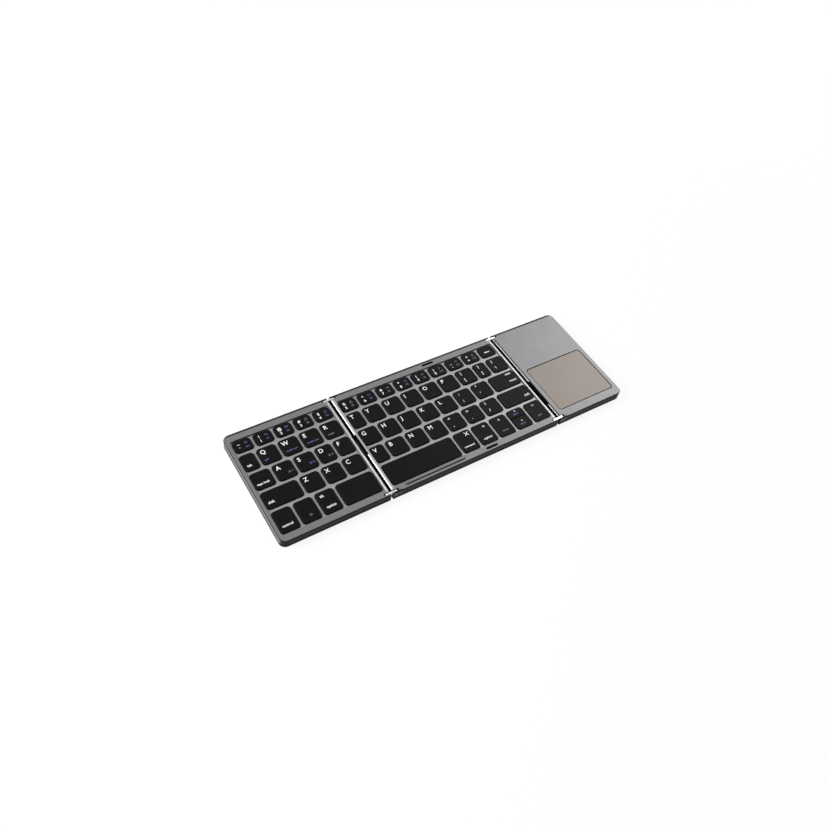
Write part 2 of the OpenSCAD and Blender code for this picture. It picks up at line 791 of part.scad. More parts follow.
// A rounded bar along Y about the charging socket's middle, larger than the socket by gap all round
module socket_form(gap, y0, y1) {
    translate([socket_x - socket_w / 2 - gap, y1, socket_z - gap]) rotate([90, 0, 0]) linear_extrude(y1 - y0)
        round_rect(socket_w + 2 * gap, socket_h + 2 * gap, socket_r + gap);
}

module socket_opening() { socket_form(socket_gap, panel_d - back_rim - eps, panel_d + eps); }

module board_posts() {
    for (x = [board_x + post_r, board_x + board_w - post_r], y = [board_y + post_r, board_y + board_d - post_r])
        translate([x, y, 0]) post(board_z);
}

module right_bottom_cover() {
    color(cover_grey) right_panel() difference() {
        bottom_cover(right_w, true, false) board_posts();
        socket_opening();
    }
}

module touch_form(h, gap) {
    translate([pad_x - gap, pad_y - gap, 0]) linear_extrude(h)
        round_rect(pad_w + 2 * gap, pad_d + 2 * gap, pad_r + gap);
}

module right_top_shell() {
    color(shell_grey) right_panel() difference() {
        top_shell(right_w, true, false, pad_ceiling_z);
        translate([0, 0, pad_ceiling_z - eps]) touch_form(pad_wall + 2 * eps, pad_gap);
        cable_cut(right_cable_y, right_notch_w);
        socket_opening();
    }
}

module touchpad() {
    color("rosybrown") right_panel() translate([0, 0, pad_ceiling_z]) touch_form(pad_wall - pad_drop, 0);
}

module touch_sensor_board() {
    color("darkgreen") right_panel() translate([0, 0, pad_ceiling_z - sensor_t])
        touch_form(sensor_t, sensor_border);
}

module main_circuit_board() {
    color("green") right_panel() box([board_x, board_y, board_z],
        [board_x + board_w, board_y + board_d, board_z + board_t]);
}

module battery() {
    color("lightsteelblue") right_panel() translate([battery_x, battery_y, floor_z])
        linear_extrude(battery_h) round_rect(battery_w, battery_d, battery_r);
}

module charging_socket() {
    mouth_y = panel_d - socket_sink;
    color(steel) right_panel() difference() {
        socket_form(0, mouth_y - socket_l, mouth_y);
        socket_form(-socket_wall, mouth_y - socket_l + socket_wall, mouth_y + eps);
    }
}

module right_hinge_caps() { right_panel() hinge_caps(right_w, false); }

module right_hinge_pins() { right_panel() hinge_pins(true); }

module right_feet() { right_panel() feet(right_w); }

module right_screws() { right_panel() screws(right_w); }

centre_bottom_cover();
centre_top_shell();
centre_key_plate();
centre_membrane();
centre_key_domes();
centre_feet();
rim_bumpers();
centre_hinge_caps();
centre_hinge_pins();
centre_screws();
number_keys_centre();
top_letter_keys_centre();
home_letter_keys_centre();
low_letter_keys_centre();
delete_key();
enter_key();
shift_key_right();
space_bar_right();
command_key();
option_key_right();
arrow_left_key();
arrow_up_key();
arrow_down_key();
arrow_right_key();
left_fold_links();
left_fold_spine();
left_ribbon_cable();
left_bottom_cover();
left_top_shell();
left_key_plate();
left_membrane();
left_key_domes();
left_feet();
left_hinge_pins();
left_screws();
number_keys_left();
top_letter_keys_left();
home_letter_keys_left();
low_letter_keys_left();
tab_key();
caps_lock_key();
shift_key_left();
control_key();
fn_key();
option_key_left();
space_bar_left();
right_fold_links();
right_fold_spine();
right_ribbon_cable();
right_bottom_cover();
right_top_shell();
touchpad();
touch_sensor_board();
main_circuit_board();
battery();
charging_socket();
right_hinge_caps();
right_hinge_pins();
right_feet();
right_screws();
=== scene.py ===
import json
import math

import bmesh
import bpy
from mathutils import Matrix, Vector

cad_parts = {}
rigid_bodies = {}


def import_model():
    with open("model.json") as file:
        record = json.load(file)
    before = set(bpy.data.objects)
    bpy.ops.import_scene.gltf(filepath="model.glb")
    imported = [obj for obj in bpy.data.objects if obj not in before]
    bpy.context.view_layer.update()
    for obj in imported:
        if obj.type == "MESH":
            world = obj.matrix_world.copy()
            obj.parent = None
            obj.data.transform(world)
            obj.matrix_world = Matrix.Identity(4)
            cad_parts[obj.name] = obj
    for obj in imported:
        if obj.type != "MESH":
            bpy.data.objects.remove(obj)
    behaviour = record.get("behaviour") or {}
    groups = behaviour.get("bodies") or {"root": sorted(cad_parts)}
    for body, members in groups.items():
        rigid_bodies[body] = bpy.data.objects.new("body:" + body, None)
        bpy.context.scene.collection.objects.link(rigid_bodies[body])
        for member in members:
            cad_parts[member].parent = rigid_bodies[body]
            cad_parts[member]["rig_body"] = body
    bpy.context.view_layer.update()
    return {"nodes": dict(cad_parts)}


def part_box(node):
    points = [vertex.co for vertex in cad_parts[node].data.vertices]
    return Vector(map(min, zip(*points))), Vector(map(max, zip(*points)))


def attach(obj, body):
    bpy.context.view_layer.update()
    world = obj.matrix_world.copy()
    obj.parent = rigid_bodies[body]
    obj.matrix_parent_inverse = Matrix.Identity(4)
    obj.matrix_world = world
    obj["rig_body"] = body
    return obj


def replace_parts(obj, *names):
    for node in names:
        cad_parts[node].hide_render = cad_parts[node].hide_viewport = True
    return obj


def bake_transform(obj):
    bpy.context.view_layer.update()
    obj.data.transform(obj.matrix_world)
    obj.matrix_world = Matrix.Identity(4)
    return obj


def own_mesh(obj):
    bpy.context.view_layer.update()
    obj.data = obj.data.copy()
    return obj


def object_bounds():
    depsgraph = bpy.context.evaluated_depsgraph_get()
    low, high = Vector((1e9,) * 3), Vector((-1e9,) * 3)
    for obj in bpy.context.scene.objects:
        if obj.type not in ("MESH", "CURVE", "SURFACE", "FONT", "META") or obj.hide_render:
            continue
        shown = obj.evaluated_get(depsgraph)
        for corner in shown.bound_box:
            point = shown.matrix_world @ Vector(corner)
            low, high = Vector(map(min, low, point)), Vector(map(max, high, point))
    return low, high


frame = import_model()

MM = 0.001

# Bottom covers: three shallow trays, injection-moulded in dark grey ABS and screwed up into the top shells.
# Spark-eroded moulds give them a fine grain that scatters light, and their edges are slightly round.


def linear(code):
    """The linear colour of an sRGB hex code."""
    parts = [int(code[i:i + 2], 16) / 255 for i in (1, 3, 5)]
    return (*[p / 12.92 if p <= 0.04045 else ((p + 0.055) / 1.055) ** 2.4 for p in parts], 1.0)


def repeats(size):
    """The scale at which a pattern repeats every size millimetres."""
    return 1 / (size * MM)


def add(tree, kind, inputs, **settings):
    """Adds a node with its settings, and with inputs that are values or other nodes' outputs."""
    made = tree.nodes.new("ShaderNode" + kind)
    for name, value in settings.items():
        setattr(made, name, value)
    for name, value in inputs.items():
        if isinstance(value, bpy.types.NodeSocket):
            tree.links.new(value, made.inputs[name])
        else:
            made.inputs[name].default_value = value
    return made


def new_material(name):
    """An empty material, its node tree, and its patterns' coordinates."""
    made = bpy.data.materials.new(name)
    made.use_nodes = True
    made.node_tree.nodes.clear()
    return made, made.node_tree, add(made.node_tree, "TexCoord", {}).outputs["Object"]


def moulded(name, dark, light, roughness, grain, relief, ior=1.53, **constants):
    """A moulded plastic or rubber: two close shades in soft clouds, under a fine grain of grain millimetres."""
    made, tree, place = new_material(name)
    clouds = add(tree, "TexNoise", {"Vector": place, "Scale": repeats(9), "Detail": 3.0}).outputs["Fac"]
    fine = add(tree, "TexNoise", {"Vector": place, "Scale": repeats(grain), "Detail": 2.0}).outputs["Fac"]
    shade = add(tree, "Mix", {"Factor": clouds, 6: linear(dark), 7: linear(light)}, data_type="RGBA")
    gloss = add(tree, "MapRange", {"Value": fine, "To Min": roughness - 0.06, "To Max": roughness + 0.06})
    bump = add(tree, "Bump", {"Height": fine, "Strength": 0.5, "Distance": relief * MM})
    named = {key.replace("_", " "): value for key, value in constants.items()}
    shader = add(tree, "BsdfPrincipled", {"Base Color": shade.outputs[2], "Roughness": gloss.outputs[0],
                                          "Normal": bump.outputs[0], "IOR": ior, **named})
    add(tree, "OutputMaterial", {"Surface": shader.outputs[0]})
    return made


def piece(name, mesh, body, slot, *materials):
    """An object of a bmesh, riding on a body, with its materials; the slot argument is not used."""
    data = bpy.data.meshes.new(name)
    mesh.to_mesh(data)
    mesh.free()
    for made in materials:
        data.materials.append(made)
    data.shade_smooth()
    data.set_sharp_from_angle(angle=math.radians(SMOOTH_UP_TO))
    made = bpy.data.objects.new(name, data)
    bpy.context.scene.collection.objects.link(made)
    if body:
        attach(made, body)
    return made


LEAST_EDGE, SMOOTH_UP_TO, STILL_FLAT = 28, 42, 0.4  # angles between faces, in degrees


def flat_faces_kept(made):
    """Weights the normals by area, so that only the rounded edges shade as round."""
    made.modifiers.new("flat faces", "WEIGHTED_NORMAL").keep_sharp = True
    return made


def solid_of(node):
    """A merged copy of a CAD node's mesh."""
    copy = bmesh.new()
    copy.from_mesh(frame["nodes"][node].data)
    bmesh.ops.remove_doubles(copy, verts=copy.verts, dist=1e-6)
    bmesh.ops.dissolve_limit(copy, verts=copy.verts, edges=copy.edges, angle_limit=math.radians(STILL_FLAT))
    return copy


def round_edges(mesh, radius, segments=2):
    """Rounds each edge at which two faces meet at more than the least angle."""
    sharp = [edge for edge in mesh.edges if edge.calc_face_angle(0) > math.radians(LEAST_EDGE)]
    bmesh.ops.bevel(mesh, geom=sharp, offset=radius * MM, offset_type="OFFSET", segments=segments,
                    affect="EDGES", profile=0.5, material=-1, clamp_overlap=True)


def rounded_copy(node, name, radius, slot, *materials, segments=2):
    """The CAD node's own form with its edges rounded, which is shown in the node's place."""
    mesh = solid_of(node)
    round_edges(mesh, radius, segments)
    made = piece(name, mesh, frame["nodes"][node]["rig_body"], slot, *materials)
    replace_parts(made, node)
    return flat_faces_kept(made)


# ABS, moulded: near black, and dull from its grain of 0.35 mm
SIDES = ("left", "centre", "right")
cover_abs = moulded("moulded_dark_abs", "#101112", "#161718", 0.52, 0.35, 0.02, Specular_IOR_Level=0.04)
for side in SIDES:
    rounded_copy(side + "_bottom_cover", side + "_cover_tray", 0.25, "cover_plastic", cover_abs)

# Rubber feet: twelve silicone rubber pads, die-cut and glued into seats in the covers. Rubber shows a dull,
# slightly dusty black with soft edges.
foot_rubber = moulded("silicone_rubber_black", "#050506", "#08080a", 0.8, 0.5, 0.03, ior=1.43,
                      Specular_IOR_Level=0.02)
for side in SIDES:
    rounded_copy(side + "_feet", side + "_rubber_feet", 0.2, "foot_rubber", foot_rubber, segments=3)

# Cover screws: twelve small machine screws in black zinc, driven up through the covers. Each pan head has a
# cross-shaped recess, and the plating leaves a dark, slightly uneven shine.
black_zinc, tree, place = new_material("black_zinc_plated_steel")
cloud = add(tree, "TexNoise", {"Vector": place, "Scale": repeats(0.4), "Detail": 3.0}).outputs["Fac"]
shade = add(tree, "Mix", {"Factor": cloud, 6: linear("#2c2c2f"), 7: linear("#45454a")}, data_type="RGBA")
gloss = add(tree, "MapRange", {"Value": cloud, "To Min": 0.28, "To Max": 0.5})
shader = add(tree, "BsdfPrincipled", {
    "Base Color": shade.outputs[2], "Roughness": gloss.outputs[0], "Metallic": 1.0})
add(tree, "OutputMaterial", {"Surface": shader.outputs[0]})


def boxes_of(node):
    """The lowest and highest corners of a CAD node's separate solids, from left to right."""
    mesh = solid_of(node)
    unseen, boxes = set(mesh.verts), []
    while unseen:
        solid, border = set(), {next(iter(unseen))}
        while border:
            solid |= border
            border = {near for vert in border for edge in vert.link_edges for near in edge.verts} - solid
        unseen -= solid
        boxes.append([tuple(pick(vert.co[axis] for vert in solid) for axis in range(3)) for pick in (min, max)])
    mesh.free()
    return sorted(boxes)


HEAD_R, HEAD_H, SHANK_R, TIP = 1.08 * MM, 0.45 * MM, 0.6 * MM, 0.25 * MM
SUNK, HIDDEN = 0.04 * MM, 0.5 * MM  # the head's depth in its seat, and the end of the shank inside it


def screw_head(mesh, x, y, z):
    """A round head about x and y, facing down at z: a square grid of cells pulled out to a circle."""
    radius, cells = HEAD_R, 7
    grid = bmesh.ops.create_grid(mesh, x_segments=cells, y_segments=cells, size=radius,
                                 matrix=Matrix.Translation((x, y, z)) @ Matrix.Rotation(math.pi, 4, "X"))
    verts = grid["verts"]
    faces = list({face for vert in verts for face in vert.link_faces})
    middle = Vector((x, y, z))
    cross = [face for face in faces
             if min(abs(c) for c in (face.calc_center_median() - middle).xy) < radius / cells / 2
             and max(abs(c) for c in (face.calc_center_median() - middle).xy) < radius * 0.75]
    for vert in verts:
        arm = vert.co - middle
        if arm.length > radius * 0.2:
            vert.co = middle + arm * (max(abs(arm.x), abs(arm.y)) / arm.xy.length)
    rim = bmesh.ops.extrude_edge_only(mesh, edges=[e for e in mesh.edges if e.is_boundary
                                                   and e.verts[0] in verts and e.verts[1] in verts])
    skirt = [g for g in rim["geom"] if isinstance(g, bmesh.types.BMVert)]
    bmesh.ops.translate(mesh, verts=skirt, vec=(0, 0, HEAD_H))
    bmesh.ops.contextual_create(mesh, geom=[g for g in rim["geom"] if isinstance(g, bmesh.types.BMEdge)])
    bmesh.ops.inset_region(mesh, faces=cross, thickness=0.02 * MM, depth=-0.3 * MM)


for side in SIDES:
    mesh = bmesh.new()
    for low, high in boxes_of(side + "_screws"):
        x, y = (low[0] + high[0]) / 2, (low[1] + high[1]) / 2
        screw_head(mesh, x, y, low[2] + SUNK)
        shank = bmesh.ops.create_cone(
            mesh, segments=16, radius1=SHANK_R, radius2=SHANK_R, depth=high[2] - low[2] - HIDDEN, cap_ends=True,
            matrix=Matrix.Translation((x, y, (low[2] + high[2] + HIDDEN) / 2)))
        tip = [e for v in shank["verts"] for e in v.link_edges if all(w.co.z > high[2] - 1e-5 for w in e.verts)]
        bmesh.ops.bevel(mesh, geom=list(set(tip)), offset=TIP, segments=2, affect="EDGES", profile=0.5, material=-1)
    bmesh.ops.recalc_face_normals(mesh, faces=mesh.faces)
    body = frame["nodes"][side + "_screws"]["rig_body"]
    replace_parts(piece(side + "_cover_screws", mesh, body, "screw_steel", black_zinc), side + "_screws")

# Key plates: sheet steel, rolled and stamped, on posts in the covers. The rolling leaves fine lines along X.
# The film above is clear polyester with pale silver tracks, three layers glued together.


def rolled(name, dark, light, roughness):
    """A rolled or drawn metal with fine lines along X, 0.15 mm apart and 6 mm long."""
    made, tree, place = new_material(name)
    along = add(tree, "Mapping", {"Vector": place, "Scale": (repeats(6), repeats(0.15), repeats(0.15))})
    lines = add(tree, "TexNoise", {"Vector": along.outputs[0], "Scale": 1.0, "Detail": 3.0}).outputs["Fac"]
    shade = add(tree, "Mix", {"Factor": lines, 6: linear(dark), 7: linear(light)}, data_type="RGBA")
    gloss = add(tree, "MapRange", {"Value": lines, "To Min": roughness - 0.05, "To Max": roughness + 0.05})
    bump = add(tree, "Bump", {"Height": lines, "Strength": 0.2, "Distance": 0.004 * MM})
    shader = add(tree, "BsdfPrincipled", {
        "Base Color": shade.outputs[2], "Roughness": gloss.outputs[0], "Normal": bump.outputs[0], "Metallic": 1.0})
    add(tree, "OutputMaterial", {"Surface": shader.outputs[0]})
    return made


def finish_node(node, made):
    """Gives a shown CAD node its material."""
    slots = frame["nodes"][node].data.materials
    slots.clear()
    slots.append(made)


plate_steel = rolled("rolled_sheet_steel", "#8a8c8e", "#a4a6a8", 0.38)
film, tree, place = new_material("polyester_film_with_tracks")
tracks = add(tree, "TexBrick", {
    "Vector": place, "Scale": repeats(8.5), "Mortar Size": 0.06, "Mortar Smooth": 0.1,
    "Color1": linear("#b9b49c"), "Color2": linear("#b4af98"), "Mortar": linear("#d9dadc")}).outputs["Color"]
shader = add(tree, "BsdfPrincipled", {"Base Color": tracks, "Roughness": 0.3, "IOR": 1.57})
add(tree, "OutputMaterial", {"Surface": shader.outputs[0]})
for side in ("left", "centre"):
    finish_node(side + "_key_plate", plate_steel)
    finish_node(side + "_membrane", film)

# Circuit boards: glass-fibre laminate under green solder mask, with copper tracks that show as paler lines.
# The touch sensor is glued under the right shell's opening, and the main board stands on the cover's posts.
solder_mask, tree, place = new_material("green_solder_mask")
lanes = add(tree, "TexBrick", {
    "Vector": place, "Scale": repeats(3.1), "Mortar Size": 0.04, "Mortar Smooth": 0.2,
    "Color1": linear("#12452a"), "Color2": linear("#0f3d25"), "Mortar": linear("#2c7a4b")}).outputs["Color"]
weave = add(tree, "TexNoise", {"Vector": place, "Scale": repeats(0.4)}).outputs["Fac"]
bump = add(tree, "Bump", {"Height": weave, "Strength": 0.3, "Distance": 0.01 * MM})
shader = add(tree, "BsdfPrincipled", {
    "Base Color": lanes, "Normal": bump.outputs[0], "Roughness": 0.32, "IOR": 1.5, "Coat Weight": 0.4})
add(tree, "OutputMaterial", {"Surface": shader.outputs[0]})
finish_node("touch_sensor_board", solder_mask)
finish_node("main_circuit_board", solder_mask)

# Battery: a lithium pouch cell in laminated aluminium foil, glued to the right cover's floor. The foil is
# slightly creased, with a soft silver shine.
pouch_foil, tree, place = new_material("laminated_aluminium_foil")
creases = add(tree, "TexVoronoi", {"Vector": place, "Scale": repeats(5)}, feature="DISTANCE_TO_EDGE")
bump = add(tree, "Bump", {"Height": creases.outputs["Distance"], "Strength": 0.4, "Distance": 0.15 * MM})
gloss = add(tree, "MapRange", {"Value": creases.outputs["Distance"], "To Min": 0.34, "To Max": 0.24})
shader = add(tree, "BsdfPrincipled", {
    "Base Color": linear("#c3c5c9"), "Roughness": gloss.outputs[0], "Normal": bump.outputs[0], "Metallic": 1.0})
add(tree, "OutputMaterial", {"Surface": shader.outputs[0]})
rounded_copy("battery", "battery_pouch_cell", 0.6, "battery_pouch", pouch_foil, segments=4)

# Charging socket: a shell of nickel-plated steel strip, bent and soldered to the main board, in an opening of
# the right panel's back wall. A black nylon tongue inside carries the gilt contacts.
nickel = rolled("nickel_plated_steel", "#a9a6a0", "#c6c3bc", 0.24)
nylon = moulded("moulded_black_nylon", "#0f0f10", "#161617", 0.45, 0.3, 0.01)
gilt, tree, place = new_material("gilt_contact")
worn = add(tree, "TexNoise", {"Vector": place, "Scale": repeats(0.3)}).outputs["Fac"]
shade = add(tree, "Mix", {"Factor": worn, 6: linear("#b98d3e"), 7: linear("#d9b466")}, data_type="RGBA")
shader = add(tree, "BsdfPrincipled", {"Base Color": shade.outputs[2], "Roughness": 0.3, "Metallic": 1.0})
add(tree, "OutputMaterial", {"Surface": shader.outputs[0]})
rounded_copy("charging_socket", "socket_shell", 0.08, "socket_steel", nickel)


def block(mesh, low, high, radius):
    """Adds a block between two corners, with its edges rounded."""
    low, high = Vector(low), Vector(high)
    made = bmesh.ops.create_cube(mesh, size=1.0, matrix=Matrix.LocRotScale((low + high) / 2, None, high - low))
    edges = list({edge for vert in made["verts"] for edge in vert.link_edges})
    bmesh.ops.bevel(mesh, geom=edges, offset=radius, segments=2, affect="EDGES", profile=0.5, material=-1)


low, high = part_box("charging_socket")
middle = (low + high) / 2
TONGUE_W, TONGUE_H, CONTACT_W, CONTACT_UP, CONTACTS, CONTACT_STEP = (
    2.4 * MM, 0.35 * MM, 0.14 * MM, 0.03 * MM, 6, 0.75 * MM)  # the widths and heights are halves
tongue = bmesh.new()
block(tongue, (middle.x - TONGUE_W, low.y + 0.3 * MM, middle.z - TONGUE_H),
      (middle.x + TONGUE_W, high.y - 0.9 * MM, middle.z + TONGUE_H), 0.12 * MM)
contacts = len(tongue.faces)
for step in range(CONTACTS):
    x = middle.x + (step - (CONTACTS - 1) / 2) * CONTACT_STEP
    block(tongue, (x - CONTACT_W, low.y + 0.6 * MM, middle.z - TONGUE_H - CONTACT_UP),
          (x + CONTACT_W, high.y - 1.3 * MM, middle.z + TONGUE_H + CONTACT_UP), 0.03 * MM)
tongue.faces.ensure_lookup_table()
for face in tongue.faces[contacts:]:
    face.material_index = 1
piece("socket_tongue", tongue, "right_panel", "socket_steel", nylon, gilt)

# Top shells: ABS mouldings sprayed with a satin metallic grey. The paint's flakes give a soft sheen with a very
# fine speckle, and the sunk key deck is sprayed a lighter silver.


def metallic_paint(name, dark, light, roughness, flakes_share=0.45):
    """A sprayed paint with aluminium flakes, drawn 0.3 mm wide, ten times their size, so that they show."""
    made, tree, place = new_material(name)
    flakes = add(tree, "TexVoronoi", {"Vector": place, "Scale": repeats(0.3)})
    spray = add(tree, "TexNoise", {"Vector": place, "Scale": repeats(14), "Detail": 2.0}).outputs["Fac"]
    mixed = add(tree, "Mix", {"Factor": 0.35, 2: spray, 3: flakes.outputs["Distance"]}, data_type="FLOAT")
    shade = add(tree, "Mix", {"Factor": mixed.outputs[0], 6: linear(dark), 7: linear(light)}, data_type="RGBA")
    gloss = add(tree, "MapRange", {"Value": flakes.outputs["Distance"], "To Min": roughness - 0.05,
                                   "To Max": roughness + 0.05})
    bump = add(tree, "Bump", {"Height": flakes.outputs["Distance"], "Strength": 0.12, "Distance": 0.01 * MM})
    shader = add(tree, "BsdfPrincipled", {
        "Base Color": shade.outputs[2], "Roughness": gloss.outputs[0], "Normal": bump.outputs[0],
        "Metallic": flakes_share, "Specular IOR Level": flakes_share / 2})
    add(tree, "OutputMaterial", {"Surface": shader.outputs[0]})
    return made


rim_paint = metallic_paint("metallic_grey_paint", "#686869", "#767677", 0.42)
deck_paint = metallic_paint("metallic_silver_paint", "#838383", "#929292", 0.40)
# Painted shade: a dark grey for the front and back walls, the lines along their top edges and a band in the thumb
# scoop, which are dark from how the light falls
painted_shade_paint = metallic_paint("painted_shade_dark_grey_paint", "#202021", "#28282a", 0.46, flakes_share=0.15)
# Painted highlight: a lighter, smoother silver on the rolled fold edges, for the light they catch
highlight_silver_paint = metallic_paint("painted_highlight_silver_paint", "#959597", "#a5a5a7", 0.34)
# Painted shade: black on the walls that face a fold and in the right shell's groove, where the gaps are dark from
# shade
painted_fold_shade = moulded("black_painted_fold_shade", "#050506", "#09090a", 0.7, 0.5, 0.01, Specular_IOR_Level=0.1)
PAINTS = (rim_paint, deck_paint, painted_shade_paint, painted_fold_shade, highlight_silver_paint)
DECK, PAINTED_SHADE, FOLD_SHADE, PAINTED_HIGHLIGHT = range(1, len(PAINTS))  # a face has the first paint unless it gets another
OUTER_X, OUTER_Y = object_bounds()[1][:2]
CORNER_R, SHADED_WALL_W, STRIP_W = 5 * MM, 0.6 * MM, 2.3 * MM
# Distances from the front or back edge: the ends of the painted shade lines, the scoop's band of painted shade, and
# the link bars' ends
FRONT_SHADE_LINE, BACK_SHADE_LINE, SCOOP_Y, SCOOP_SHADE, LINK_END = 0.5 * MM, 1.9 * MM, 2.0 * MM, 3.6 * MM, 3.9 * MM
FOLD_WALL_D, FOLD_WALL_Z = 1.2 * MM, 7.3 * MM  # the black walls' reach from the fold, and their height
DECK_LOW, DECK_Z, STRIP_LOW, RIM_LOW, RIM_Z = 5.9 * MM, 6.82 * MM, 7.0 * MM, 7.4 * MM, 7.9 * MM


def cut(mesh, axis, place):
    """Cuts a mesh through along a plane across an axis."""
    bmesh.ops.bisect_plane(mesh, geom=mesh.verts[:] + mesh.edges[:] + mesh.faces[:], dist=1e-7,
                           plane_co=[place if i == axis else 0 for i in range(3)],
                           plane_no=[i == axis for i in range(3)])


def paint_shell(mesh, folds, strip=STRIP_W):
    """Silver on the deck, a lighter silver as painted highlight on the rolled fold edges, dark grey as painted shade
    on the front and back walls, along their top edges and in the thumb scoop, and black as painted shade on the
    walls that face a fold."""
    for face in mesh.faces:
        (x, y, z), normal = face.calc_center_median(), face.normal
        from_fold = min(abs(x - fold) for fold in folds)
        corner = Vector((max(abs(x) - OUTER_X + CORNER_R, 0), max(abs(y) - OUTER_Y + CORNER_R, 0))).length
        # walls that face a fold: black painted shade
        if from_fold < FOLD_WALL_D and abs(normal.x) > 0.7 and z < FOLD_WALL_Z:
            face.material_index = FOLD_SHADE
        # rolled fold edges: lighter silver, a painted highlight
        elif from_fold < strip and abs(y) < OUTER_Y - LINK_END and z > STRIP_LOW and normal.z > 0.3:
            face.material_index = PAINTED_HIGHLIGHT
        # front and back walls: dark grey painted shade
        elif corner > CORNER_R - SHADED_WALL_W and normal.z < 0.9 and abs(normal.x) < 0.9:
            face.material_index = PAINTED_SHADE
        # lines along the front and back top edges: painted shade
        elif z > RIM_LOW and (y < FRONT_SHADE_LINE - OUTER_Y or y > OUTER_Y - BACK_SHADE_LINE):
            face.material_index = PAINTED_SHADE
        # a band in the thumb scoop behind its front lip: painted shade
        elif SCOOP_Y < y + OUTER_Y < SCOOP_SHADE and STRIP_LOW < z < RIM_Z:
            face.material_index = PAINTED_SHADE
        elif DECK_LOW < z < DECK_Z:
            face.material_index = DECK


for side in ("left", "centre"):
    low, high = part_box(side + "_top_shell")
    folds = [high.x] if side == "left" else [low.x, high.x]
    shell = solid_of(side + "_top_shell")
    for fold in folds:
        cut(shell, 0, fold + math.copysign(STRIP_W, (low.x + high.x) / 2 - fold))
    for place in (low.y + FRONT_SHADE_LINE, low.y + SCOOP_SHADE, low.y + LINK_END, high.y - LINK_END, high.y - BACK_SHADE_LINE):
        cut(shell, 1, place)
    paint_shell(shell, folds)
    round_edges(shell, 0.18)
    shell = piece(side + "_shell", shell, side + "_panel", "shell_paint", *PAINTS)
    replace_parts(shell, side + "_top_shell")
    flat_faces_kept(shell)

# Right shell: the same moulding and paint round the touchpad's opening, with a fine groove just inside its fold
# edge, where the top skin is let into the rolled edge. The groove is painted black as painted shade, and the shell
# carries the same painted shade and painted highlight as the others.
GROOVE_DEPTH = 0.3 * MM
low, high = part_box("right_top_shell")
shell = solid_of("right_top_shell")
groove = [low.x + 0.5 * MM, low.x + 1.15 * MM]
for place in groove:
    cut(shell, 0, place)
for place in (low.y + FRONT_SHADE_LINE, low.y + LINK_END, high.y - LINK_END, high.y - BACK_SHADE_LINE):
    cut(shell, 1, place)
paint_shell(shell, [low.x], strip=groove[0] - low.x)
sunk = [face for face in shell.faces if face.normal.z > 0.5
        and groove[0] < face.calc_center_median().x < groove[1]
        and low.y + LINK_END < face.calc_center_median().y < high.y - LINK_END]
walls = bmesh.ops.inset_region(shell, faces=sunk, thickness=0.0, depth=-GROOVE_DEPTH)["faces"]
# the groove's floor and walls: black painted shade
for face in sunk + walls:
    face.material_index = FOLD_SHADE
round_edges(shell, 0.12)
right_shell = piece("right_shell", shell, "right_panel", "shell_paint", *PAINTS)
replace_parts(right_shell, "right_top_shell")
flat_faces_kept(right_shell)

# Indicator lights: three small lenses of smoked acrylic, pressed flush into the right shell near its fold edge.
smoked, tree, place = new_material("smoked_acrylic")
haze = add(tree, "TexNoise", {"Vector": place, "Scale": repeats(0.5)}).outputs["Fac"]
shade = add(tree, "Mix", {"Factor": haze, 6: linear("#5f5f63"), 7: linear("#6c6c70")}, data_type="RGBA")
shader = add(tree, "BsdfPrincipled", {
    "Base Color": shade.outputs[2], "Roughness": 0.2, "IOR": 1.49, "Coat Weight": 0.5})
add(tree, "OutputMaterial", {"Surface": shader.outputs[0]})
LENS_R, LENS_SUNK, FROM_FOLD = 0.5 * MM, 0.1 * MM, 5.2 * MM
lenses = bmesh.new()
for from_back in (12.6, 20.3, 28.0):
    ball = bmesh.ops.create_uvsphere(lenses, u_segments=20, v_segments=10, radius=LENS_R)["verts"]
    bmesh.ops.scale(lenses, verts=ball, vec=(1, 1, 0.3))
    bmesh.ops.translate(lenses, verts=ball, vec=(low.x + FROM_FOLD, high.y - from_back * MM, high.z - LENS_SUNK))
piece("indicator_lights", lenses, "right_panel", "cap_plastic", smoked)

# Touchpad: a satin film over a stiff plate, warm grey, let into the right shell with a narrow dark groove. Its
# edge is cut at a slant, which catches a thin line of light.
touch_film, tree, place = new_material("satin_touch_film")
drift = add(tree, "TexNoise", {"Vector": place, "Scale": repeats(45), "Detail": 1.0}).outputs["Fac"]
fine = add(tree, "TexNoise", {"Vector": place, "Scale": repeats(0.4), "Detail": 2.0}).outputs["Fac"]
shade = add(tree, "Mix", {"Factor": drift, 6: linear("#766e65"), 7: linear("#827a71")}, data_type="RGBA")
gloss = add(tree, "MapRange", {"Value": fine, "To Min": 0.36, "To Max": 0.46})
bump = add(tree, "Bump", {"Height": fine, "Strength": 0.1, "Distance": 0.01 * MM})
shader = add(tree, "BsdfPrincipled", {
    "Base Color": shade.outputs[2], "Roughness": gloss.outputs[0], "Normal": bump.outputs[0], "Metallic": 0.1,
    "Specular IOR Level": 0.3})
add(tree, "OutputMaterial", {"Surface": shader.outputs[0]})
rounded_copy("touchpad", "touchpad_plate", 0.2, "touch_surface", touch_film)

